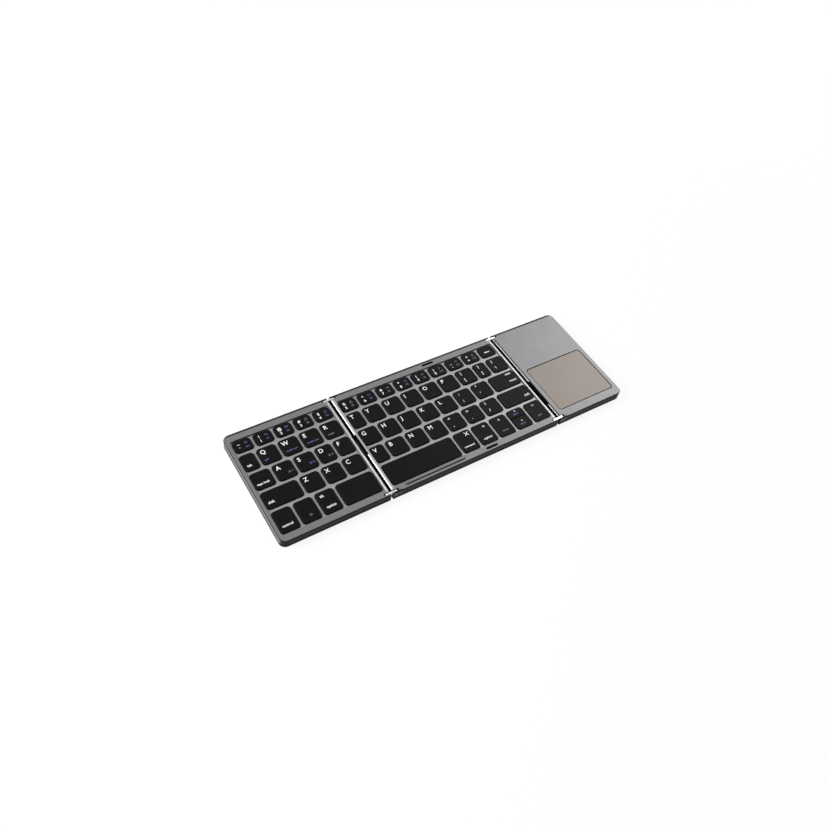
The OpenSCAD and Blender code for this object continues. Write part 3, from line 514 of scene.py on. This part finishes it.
# Touchpad gasket: a thin black rubber ring on the sensor board, pressed in between the plate and the shell. It
# makes the narrow groove round the plate black.
low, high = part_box("touchpad")
GASKET_W, GASKET_H, PAD_CORNER, PLAY = 0.66 * MM, 0.65 * MM, 2 * MM, 0.02 * MM
gasket = bmesh.new()
size = high - low + Vector((2, 2, 0)) * GASKET_W
bmesh.ops.create_grid(gasket, x_segments=1, y_segments=1, size=0.5, matrix=Matrix.LocRotScale(
    ((low.x + high.x) / 2, (low.y + high.y) / 2, low.z), None, (size.x, size.y, 1)))
bmesh.ops.bevel(gasket, geom=gasket.verts[:], offset=PAD_CORNER + GASKET_W, segments=8, affect="VERTICES",
                profile=0.5, material=-1)
hole = gasket.faces[:]
bmesh.ops.inset_region(gasket, faces=hole, thickness=GASKET_W - PLAY, use_even_offset=True, use_boundary=True)
bmesh.ops.delete(gasket, geom=hole, context="FACES")
wall = bmesh.ops.extrude_face_region(gasket, geom=gasket.faces[:])["geom"]
bmesh.ops.translate(gasket, verts=[g for g in wall if isinstance(g, bmesh.types.BMVert)], vec=(0, 0, GASKET_H))
bmesh.ops.recalc_face_normals(gasket, faces=gasket.faces)
piece("touchpad_gasket", gasket, "right_panel", "touch_surface", foot_rubber)

# Rim bumpers: two black rubber pills glued into seats in the centre panel's rims. The folded panels rest on
# them, so that the keys don't touch.
rounded_copy("rim_bumpers", "rim_bumper_pads", 0.3, "foot_rubber", foot_rubber, segments=3)

# Folds: link bars of polished stainless steel turn on ground steel pins, two at each end of a fold. The black
# spine between them and the end caps outside them are glossy moulded ABS.
polished, tree, place = new_material("polished_stainless_steel")
haze = add(tree, "TexNoise", {"Vector": place, "Scale": repeats(1.2), "Detail": 3.0}).outputs["Fac"]
gloss = add(tree, "MapRange", {"Value": haze, "To Min": 0.2, "To Max": 0.32})
shader = add(tree, "BsdfPrincipled", {
    "Base Color": linear("#cfcfcd"), "Roughness": gloss.outputs[0], "Metallic": 1.0})
add(tree, "OutputMaterial", {"Surface": shader.outputs[0]})
ground = rolled("ground_pin_steel", "#55565a", "#6a6b6f", 0.4)
cap_abs = moulded("glossy_black_abs", "#0a0a0b", "#0f0f10", 0.24, 0.6, 0.004, Specular_IOR_Level=0.12)
for side in ("left", "right"):
    rounded_copy(side + "_fold_links", side + "_link_bars", 0.25, "bright_steel", polished, segments=3)
    rounded_copy(side + "_fold_spine", side + "_fold_spine_strip", 0.2, "cap_plastic", cap_abs)
for side in SIDES:
    rounded_copy(side + "_hinge_pins", side + "_pins", 0.12, "bright_steel", ground, segments=3)
for side in ("centre", "right"):
    rounded_copy(side + "_hinge_caps", side + "_end_caps", 0.12, "cap_plastic", cap_abs)

# Ribbon cables: copper tracks in black polyimide film, one across each fold, shown as two flat halves that
# meet on the spine.
polyimide = moulded("black_polyimide_film", "#101011", "#171719", 0.4, 0.8, 0.01, ior=1.7)
BEND_W = 1.1 * MM
for side, first, last in (("left", "left_panel", "centre_panel"), ("right", "centre_panel", "right_panel")):
    low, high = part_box(side + "_ribbon_cable")
    middle = (low.x + high.x) / 2
    for half, a, b, x0, x1, start, end in (
            ("near", first, side + "_links", low.x, middle, middle - BEND_W, middle),
            ("far", side + "_links", last, middle, high.x, middle, middle + BEND_W)):
        strip = bmesh.new()
        bmesh.ops.create_grid(strip, x_segments=60, y_segments=1, size=0.5, matrix=Matrix.LocRotScale(
            ((x0 + x1) / 2, (low.y + high.y) / 2, low.z), None, (x1 - x0, high.y - low.y, 1)))
        bmesh.ops.solidify(strip, geom=strip.faces[:], thickness=high.z - low.z)
        bmesh.ops.translate(strip, verts=strip.verts, vec=(0, 0, low.z - min(v.co.z for v in strip.verts)))
        bmesh.ops.recalc_face_normals(strip, faces=strip.faces)
        made = piece(side + "_ribbon_" + half, strip, None, "ribbon", polyimide)
        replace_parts(made, side + "_ribbon_cable")
        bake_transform(made)

# Key caps: 64 shallow lids, moulded in black ABS with a fine matte grain. Their tops are slightly dished, so
# that a finger finds the middle, and their corners and top edges are round.
key_abs = moulded("matte_black_abs", "#0b0b0c", "#0f0f10", 0.42, 0.28, 0.012, Specular_IOR_Level=0.05)
keys = [node for node in frame["nodes"] if "keys" in node or node.endswith("_key") or "space_bar" in node
        or node.startswith(("shift_key", "option_key"))]
CORNER, NARROW, EDGE_R = 2.55 * MM, 0.5 * MM, 0.45 * MM
WALL_T, LID_T = 0.9 * MM, 1.1 * MM
DISH = ((0.35, 0.0), (0.6, -0.02), (0.6, -0.03), (0.5, -0.02))  # steps inwards and down, in millimetres


def stepped(mesh, face, inset, sink=0.0):
    """Puts a smaller copy of a level face inside it, sink above or below it, and returns the copy."""
    inner = bmesh.ops.extrude_discrete_faces(mesh, faces=[face])["faces"][0]
    middle = inner.calc_center_bounds()
    width, depth = (max(v.co[i] for v in inner.verts) - min(v.co[i] for v in inner.verts) for i in (0, 1))
    bmesh.ops.scale(mesh, verts=inner.verts[:], vec=(1 - 2 * inset / width, 1 - 2 * inset / depth, 1),
                    space=Matrix.Translation(-middle))
    bmesh.ops.translate(mesh, verts=inner.verts[:], vec=(0, 0, sink))
    return inner


def key_cap(mesh, low, high, square_side=0):
    """A cap with round corners, which are nearly square on the front side (-1) or the back side (1)."""
    low, high = Vector(low), Vector(high)
    made = bmesh.ops.create_cube(mesh, size=1.0, matrix=Matrix.LocRotScale((low + high) / 2, None, high - low))
    middle = (low + high) / 2
    upright = {edge for vert in made["verts"] for edge in vert.link_edges
               if abs(edge.verts[0].co.z - edge.verts[1].co.z) > 1e-4}
    for radius, chosen in (
            (NARROW, [e for e in upright if (e.verts[0].co.y - middle.y) * square_side > 0]),
            (CORNER, [e for e in upright if (e.verts[0].co.y - middle.y) * square_side <= 0])):
        if chosen:
            bmesh.ops.bevel(mesh, geom=sorted(chosen, key=lambda e: tuple(e.verts[0].co)), offset=radius,
                            segments=8, affect="EDGES", profile=0.5, material=-1)
    inside = [f for f in mesh.faces if all(low.x - 1e-6 < v.co.x < high.x + 1e-6
                                           and low.y - 1e-6 < v.co.y < high.y + 1e-6 for v in f.verts)]
    top = next(f for f in inside if f.normal.z > 0.9)
    under = next(f for f in inside if f.normal.z < -0.9)
    under = stepped(mesh, under, WALL_T)
    lid = bmesh.ops.extrude_discrete_faces(mesh, faces=[under])["faces"]
    bmesh.ops.translate(mesh, verts=lid[0].verts[:], vec=(0, 0, high.z - low.z - LID_T))
    bmesh.ops.bevel(mesh, geom=top.edges[:], offset=EDGE_R, segments=4, affect="EDGES", profile=0.5, material=-1)
    top = max((f for f in mesh.faces if low.x < f.calc_center_median().x < high.x and low.y
               < f.calc_center_median().y < high.y and f.calc_center_median().z > high.z - 1e-6),
              key=lambda f: f.calc_area())
    for inset, sink in DISH:
        top = stepped(mesh, top, inset * MM, sink * MM)


# Key domes: a milky silicone dome under each cap gives it its spring. It stands on the film; on the keyboard it
# flattens as its key goes down, and here it is shown at rest, riding with its panel.
silicone = moulded("milky_silicone", "#b9b8b2", "#c6c5bf", 0.5, 0.6, 0.01, ior=1.41, Subsurface_Weight=0.2)
DOME_FOOT_Z, DOME_H, DOME_LEFT = 4.2 * MM, 2.35 * MM, 0.5
# From the crown to the foot: the radius in millimetres, and the height as a share of the dome's
dome_profile = [(0.0, 0.98), (0.9, 1.0), (1.1, 0.94), (1.2, 0.7), (1.75, 0.28), (2.05, 0.12), (2.1, 0.0), (0.0, 0.0)]


def dome(mesh, x, y):
    """Adds a silicone dome about x and y, spun from its profile."""
    verts = [mesh.verts.new((x + r * MM, y, DOME_FOOT_Z + h * DOME_H)) for r, h in dome_profile]
    edges = [mesh.edges.new(pair) for pair in zip(verts, verts[1:])]
    bmesh.ops.spin(mesh, geom=verts + edges, cent=(x, y, 0), axis=(0, 0, 1), angle=2 * math.pi, steps=18,
                   use_merge=True)


for node in sorted(keys):
    body = frame["nodes"][node]["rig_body"]
    caps, domes = bmesh.new(), bmesh.new()
    for low, high in boxes_of(node):
        key_cap(caps, low, high, {"arrow_up_key": -1, "arrow_down_key": 1}.get(node, 0))
        dome(domes, (low[0] + high[0]) / 2, (low[1] + high[1]) / 2)
    made = flat_faces_kept(piece(node + "_caps", caps, body, "key_plastic", key_abs))
    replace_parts(made, node)
    bmesh.ops.remove_doubles(domes, verts=domes.verts, dist=1e-6)
    bmesh.ops.recalc_face_normals(domes, faces=domes.faces)
    panel = "left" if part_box(node)[0].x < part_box("left_top_shell")[1].x else "centre"
    made = piece(node + "_domes", domes, panel + "_panel", "dome_rubber", silicone)
    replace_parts(made, panel + "_key_domes")
    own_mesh(made)

# Legends: white and violet-blue ink, pad-printed on the caps in a plain sans face about 0.02 mm thick. The ink
# is slightly raised and satin, a little uneven at this scale.


def ink(name, dark, light):
    """A satin printing ink, mottled as pad printing is."""
    return moulded(name, dark, light, 0.5, 0.4, 0.004, ior=1.5)


inks = [ink("white_ink", "#e2e2e0", "#f0f0ee"), ink("violet_blue_ink", "#4c4c80", "#58588e"),
        ink("grey_ink", "#606066", "#6c6c72")]
WHITE, BLUE, GREY = range(3)
INK_T = 0.02 * MM
CAPITAL = 0.73  # a capital's height as a share of the type's size
STROKE = 0.075  # half a stroke's width as a share of a sign's size
BOLD, THIN = 0.08, 0.05  # how far a letter's outline is moved outwards, in millimetres


def printed(mesh, top, x, y, colour, form, flat=1.0):
    """Adds a text or a curve to the legends, its place x and y millimetres from a cap's left back corner."""
    holder = bpy.data.objects.new("print", form)
    data = bpy.data.meshes.new_from_object(holder)
    data.transform(Matrix.LocRotScale((top[0] + x * MM, top[1] - y * MM, top[2] + INK_T / 2), None, (1, 1, flat)))
    first = len(mesh.faces)
    mesh.from_mesh(data)
    mesh.faces.ensure_lookup_table()
    for face in mesh.faces[first:]:
        face.material_index = colour
    bpy.data.objects.remove(holder)
    bpy.data.meshes.remove(data)
    bpy.data.curves.remove(form)


def words(mesh, top, text, x, y, height, colour=WHITE, side="LEFT", weight=BOLD):
    """Prints words whose line stands y millimetres in front of the cap's back edge."""
    form = bpy.data.curves.new("words", "FONT")
    form.body, form.align_x, form.size = text, side, height * MM / CAPITAL
    form.offset, form.extrude, form.resolution_u = weight * MM, INK_T / 2, 3
    printed(mesh, top, x, y, colour, form)


def sign(mesh, top, name, x, y, size, colour):
    """Prints a sign of strokes, centred on x and y, size millimetres across."""
    form = bpy.data.curves.new("sign", "CURVE")
    form.dimensions, form.bevel_depth, form.bevel_resolution = "3D", STROKE * size * MM, 1
    for stroke in SIGNS[name]:
        spline = form.splines.new("POLY")
        closed = stroke[0] == stroke[-1]
        points = stroke[:-1] if closed else stroke
        spline.points.add(len(points) - 1)
        for point, (u, v) in zip(spline.points, points):
            point.co = (u * size * MM, v * size * MM, 0, 1)
        spline.use_cyclic_u = closed
    printed(mesh, top, x, y, colour, form, flat=INK_T / (STROKE * size * MM) / 2)


def ring(x, y, radius, steps=10):
    """A closed round stroke."""
    turns = [2 * math.pi * i / steps for i in range(steps)]
    points = [(x + radius * math.cos(t), y + radius * math.sin(t)) for t in turns]
    return points + points[:1]


BAR_L, BAR_R = [(-0.5, -0.4), (-0.5, 0.4)], [(0.5, -0.4), (0.5, 0.4)]
SPEAKER = [(-0.5, -0.15), (-0.3, -0.15), (0, -0.4), (0, 0.4), (-0.3, 0.15), (-0.5, 0.15), (-0.5, -0.15)]
SIGNS = {
    "house": [[(-0.5, 0.05), (0, 0.5), (0.5, 0.05)], [(-0.35, 0.1), (-0.35, -0.4), (0.35, -0.4), (0.35, 0.1)]],
    "lens": [ring(-0.1, 0.1, 0.32), [(0.15, -0.15), (0.5, -0.5)]],
    "frame": [[(-0.5, -0.4), (0.5, -0.4), (0.5, 0.4), (-0.5, 0.4), (-0.5, -0.4)], [(-0.25, 0), (0.25, 0)]],
    "sheets": [[(-0.5, -0.5), (0.1, -0.5), (0.1, 0.2), (-0.5, 0.2), (-0.5, -0.5)],
               [(-0.2, 0.35), (-0.2, 0.5), (0.45, 0.5), (0.45, -0.2), (0.25, -0.2)]],
    "board": [[(-0.35, -0.5), (0.35, -0.5), (0.35, 0.4), (-0.35, 0.4), (-0.35, -0.5)], [(-0.15, 0.5), (0.15, 0.5)]],
    "shears": [[(-0.3, 0.5), (0.25, -0.25)], [(0.3, 0.5), (-0.25, -0.25)], ring(-0.3, -0.38, 0.14, 6),
               ring(0.3, -0.38, 0.14, 6)],
    "back": [BAR_L, [(0.5, -0.4), (-0.3, 0), (0.5, 0.4), (0.5, -0.4)]],
    "play": [[(-0.5, -0.4), (0.1, 0), (-0.5, 0.4), (-0.5, -0.4)], [(0.28, -0.4), (0.28, 0.4)], BAR_R],
    "ahead": [[(-0.5, -0.4), (0.3, 0), (-0.5, 0.4), (-0.5, -0.4)], BAR_R],
    "mute": [SPEAKER, [(0.2, -0.2), (0.5, 0.2)], [(0.2, 0.2), (0.5, -0.2)]],
    "softer": [SPEAKER, [(0.2, 0), (0.5, 0)]],
    "louder": [SPEAKER, [(0.2, 0), (0.5, 0)], [(0.35, -0.16), (0.35, 0.16)]],
    "padlock": [[(-0.35, -0.5), (0.35, -0.5), (0.35, 0.1), (-0.35, 0.1), (-0.35, -0.5)],
                [(-0.22, 0.1), (-0.22, 0.35), (0, 0.5), (0.22, 0.35), (0.22, 0.1)]],
    "left": [[(0.3, -0.4), (-0.35, 0), (0.3, 0.4), (0.3, -0.4)], [(0.1, -0.1), (0.1, 0.1)]],
    "right": [[(-0.3, -0.4), (0.35, 0), (-0.3, 0.4), (-0.3, -0.4)], [(-0.1, -0.1), (-0.1, 0.1)]],
    "up": [[(-0.4, -0.3), (0, 0.35), (0.4, -0.3), (-0.4, -0.3)], [(-0.1, -0.1), (0.1, -0.1)]],
    "down": [[(-0.4, 0.3), (0, -0.35), (0.4, 0.3), (-0.4, 0.3)], [(-0.1, 0.1), (0.1, 0.1)]],
    "cross": [[(-0.4, -0.4), (0.4, 0.4)], [(-0.4, 0.4), (0.4, -0.4)]],
}

NUMBER_KEYS = {
    "number_keys_left": [
        ("~", "`", "house", "esc", BLUE), ("!", "1", "lens", "F1", BLUE), ("@", "2", "frame", "F2", BLUE),
        ("#", "3", "sheets", "F3", GREY), ("$", "4", "board", "F4", BLUE)],
    "number_keys_centre": [
        ("%", "5", "shears", "F5", GREY), ("^", "6", "back", "F6", BLUE), ("&", "7", "play", "F7", GREY),
        ("*", "8", "ahead", "F8", BLUE), ("(", "9", "mute", "F9", BLUE), (")", "0", "softer", "F10", GREY),
        ("_", "-", "louder", "F11", GREY), ("+", "=", "padlock", "F12", GREY)],
}
LETTER_KEYS = {
    "top_letter_keys_left": "Q W E R", "home_letter_keys_left": "A S D F", "low_letter_keys_left": "Z X C",
    "top_letter_keys_centre": "T Y U I O P {[ }] |\\", "home_letter_keys_centre": "G H J K L :; \"'",
    "low_letter_keys_centre": "V B N M <, >. ?/",
}
# Further words: the key's row, its place in the row, the word, the word's place in millimetres from the left back
# corner (from the right edge where it is below 0), its height and its ink
WORDS = [
    ("top_letter_keys_left", 0, "pair", 2.3, 11.6, 1.6, BLUE),
    ("top_letter_keys_left", 1, "mode one", 2.3, 11.6, 1.6, BLUE),
    ("top_letter_keys_left", 2, "mode two", 2.3, 11.6, 1.6, BLUE),
    ("top_letter_keys_left", 3, "mode", 2.3, 11.6, 1.6, GREY),
    ("home_letter_keys_left", 0, "ch 1", -1.7, 10.7, 1.8, GREY),
    ("home_letter_keys_left", 1, "ch 2", -1.7, 10.7, 1.8, BLUE),
    ("home_letter_keys_left", 2, "ch 3", -1.7, 10.7, 1.8, GREY),
    ("tab_key", 0, "tab", 2.5, 11.3, 2.0, WHITE), ("caps_lock_key", 0, "caps lock", 1.8, 11.4, 1.85, WHITE),
    ("shift_key_left", 0, "shift", 2.3, 10.8, 2.0, WHITE), ("control_key", 0, "control", 2.5, 14.5, 2.0, WHITE),
    ("fn_key", 0, "fn", 6.8, 14.5, 2.0, GREY), ("option_key_left", 0, "alt", 2.8, 4.9, 2.2, WHITE),
    ("option_key_left", 0, "option", 3.3, 14.5, 2.05, WHITE), ("delete_key", 0, "delete", 4.0, 6.7, 1.5, WHITE),
    ("enter_key", 0, "enter", -3.0, 3.4, 1.9, WHITE), ("enter_key", 0, "return", -2.0, 10.7, 2.0, WHITE),
    ("shift_key_right", 0, "shift", -2.0, 11.0, 2.15, WHITE), ("command_key", 0, "command", 2.4, 14.9, 1.65, WHITE),
    ("option_key_right", 0, "alt", 8.8, 4.2, 1.5, WHITE), ("option_key_right", 0, "option", 3.5, 14.9, 2.05, WHITE),
    ("arrow_left_key", 0, "home", 4.3, 14.8, 1.6, GREY), ("arrow_right_key", 0, "end", 5.2, 14.8, 1.6, GREY),
    ("arrow_up_key", 0, "pg up", 4.4, 5.2, 1.5, BLUE), ("arrow_down_key", 0, "pg dn", 4.4, 7.4, 1.5, BLUE),
]
# Signs: the key, the sign, its middle from the cap's right back corner, its size and its ink
KEY_SIGNS = [
    ("command_key", "cross", -3.8, 3.7, 4.0, WHITE), ("arrow_left_key", "left", -7.2, 3.7, 2.4, WHITE),
    ("arrow_right_key", "right", -7.2, 3.7, 2.4, WHITE), ("arrow_up_key", "up", -7.2, 2.0, 2.0, WHITE),
    ("arrow_down_key", "down", -7.2, 4.3, 2.0, WHITE),
]

for node in sorted(keys):
    mesh = bmesh.new()
    for place_in_row, (low, high) in enumerate(boxes_of(node)):
        top = (low[0], high[1], high[2])
        width = (high[0] - low[0]) / MM
        if node in NUMBER_KEYS:
            upper, lower, name, word, colour = NUMBER_KEYS[node][place_in_row]
            for text, y in ((upper, 4.9), (lower, 8.7)):
                words(mesh, top, text, 4.0, y, 2.4, side="CENTER")
            sign(mesh, top, name, 9.7, 3.8, 2.2, colour)
            words(mesh, top, word, 9.7, 8.2, 1.6, colour, "CENTER", THIN)
        if node in LETTER_KEYS:
            signs = LETTER_KEYS[node].split(" ")[place_in_row]
            if len(signs) == 1:
                words(mesh, top, signs, 2.0, 5.6, 3.6, weight=0.07)
            else:
                for text, y in zip(signs, (4.4, 11.3)):
                    words(mesh, top, text, 4.2, y, 2.6, side="CENTER")
        for row, column, text, x, y, height, colour in WORDS:
            if (row, column) == (node, place_in_row):
                side, x = ("LEFT", x) if x > 0 else ("RIGHT", width + x)
                words(mesh, top, text, x, y, height, colour, side, THIN)
        for row, name, x, y, size, colour in KEY_SIGNS:
            if row == node:
                sign(mesh, top, name, width + x, y, size, colour)
    if mesh.faces:
        piece(node + "_legends", mesh, frame["nodes"][node]["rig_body"], "key_plastic", *inks)
    else:
        mesh.free()

# Studio: a pale paper sweep under the keyboard, and two wide soft lamps behind it. The sweep and the room show
# white to the camera and in reflections, and the sweep keeps the keyboard's shadow.


def shown_ray(tree):
    """One for rays from the camera or off glossy and clear surfaces, and zero for those that light the object."""
    path = add(tree, "LightPath", {})
    shown = add(tree, "Math", {0: path.outputs["Is Camera Ray"], 1: path.outputs["Is Glossy Ray"]},
                operation="MAXIMUM")
    shown = add(tree, "Math", {0: shown.outputs[0], 1: path.outputs["Is Transmission Ray"]}, operation="MAXIMUM")
    return shown.outputs[0]


paper, tree, place = new_material("pale_paper_sweep")
seen = shown_ray(tree)
shade = add(tree, "Mix", {"Factor": seen, 6: linear("#7a7a7a"), 7: linear("#ffffff")}, data_type="RGBA")
lit = add(tree, "BsdfDiffuse", {"Color": shade.outputs[2]})
white = add(tree, "Emission", {"Color": linear("#ffffff"), "Strength": 1.0})
share = add(tree, "Math", {0: seen, 1: 0.9}, operation="MULTIPLY")
mixed = add(tree, "MixShader", {0: share.outputs[0], 1: lit.outputs[0], 2: white.outputs[0]})
add(tree, "OutputMaterial", {"Surface": mixed.outputs[0]})
floor = bmesh.new()
bmesh.ops.create_grid(floor, x_segments=1, y_segments=1, size=4.0)
data = bpy.data.meshes.new("floor")
floor.to_mesh(data)
floor.free()
data.materials.append(paper)
floor = bpy.data.objects.new("floor", data)
bpy.context.scene.collection.objects.link(floor)

world = bpy.data.worlds.new("studio")
bpy.context.scene.world = world
world.use_nodes = True
tree = world.node_tree
tree.nodes.clear()
dim = add(tree, "Background", {"Color": linear("#ffffff"), "Strength": 0.16})
bright = add(tree, "Background", {"Color": linear("#ffffff"), "Strength": 1.0})
mixed = add(tree, "MixShader", {0: shown_ray(tree), 1: dim.outputs[0], 2: bright.outputs[0]})
add(tree, "OutputWorld", {"Surface": mixed.outputs[0]})


def soft_lamp(name, place, aim, width, depth, watts):
    """A rectangular soft lamp at place, facing aim."""
    light = bpy.data.lights.new(name, "AREA")
    light.shape, light.size, light.size_y, light.energy = "RECTANGLE", width, depth, watts
    lamp = bpy.data.objects.new(name, light)
    bpy.context.scene.collection.objects.link(lamp)
    lamp.location = place
    lamp.rotation_mode = "QUATERNION"
    lamp.rotation_quaternion = (Vector(aim) - Vector(place)).to_track_quat("-Z", "Y")


soft_lamp("left lamp", (-1.1, 0.5, 0.7), (0, 0, 0), 0.9, 0.9, 31)
soft_lamp("right lamp", (1.3, 0.55, 1.05), (0.1, 0, 0), 0.8, 0.8, 14)

# Camera: where the photograph was taken from, 0.66 m away, with its frame's width on a 36 mm sensor
camera = bpy.data.objects.new("camera", bpy.data.cameras.new("camera"))
bpy.context.scene.collection.objects.link(camera)
camera.data.lens, camera.data.sensor_width = 36.160, 36.0
right = Vector((0.84358725, -0.52188627, 0.12647247))
down = Vector((-0.34226059, -0.70403153, -0.62225179))
ahead = Vector((0.41378528, 0.48163712, -0.77253312))
turn = Matrix((right, -down, -ahead)).transposed()
camera.matrix_world = Matrix.LocRotScale(Vector((-276.625, -298.962, 497.264)) * MM, turn, None)
bpy.context.scene.camera = camera
bpy.context.scene.view_settings.view_transform = "Standard"
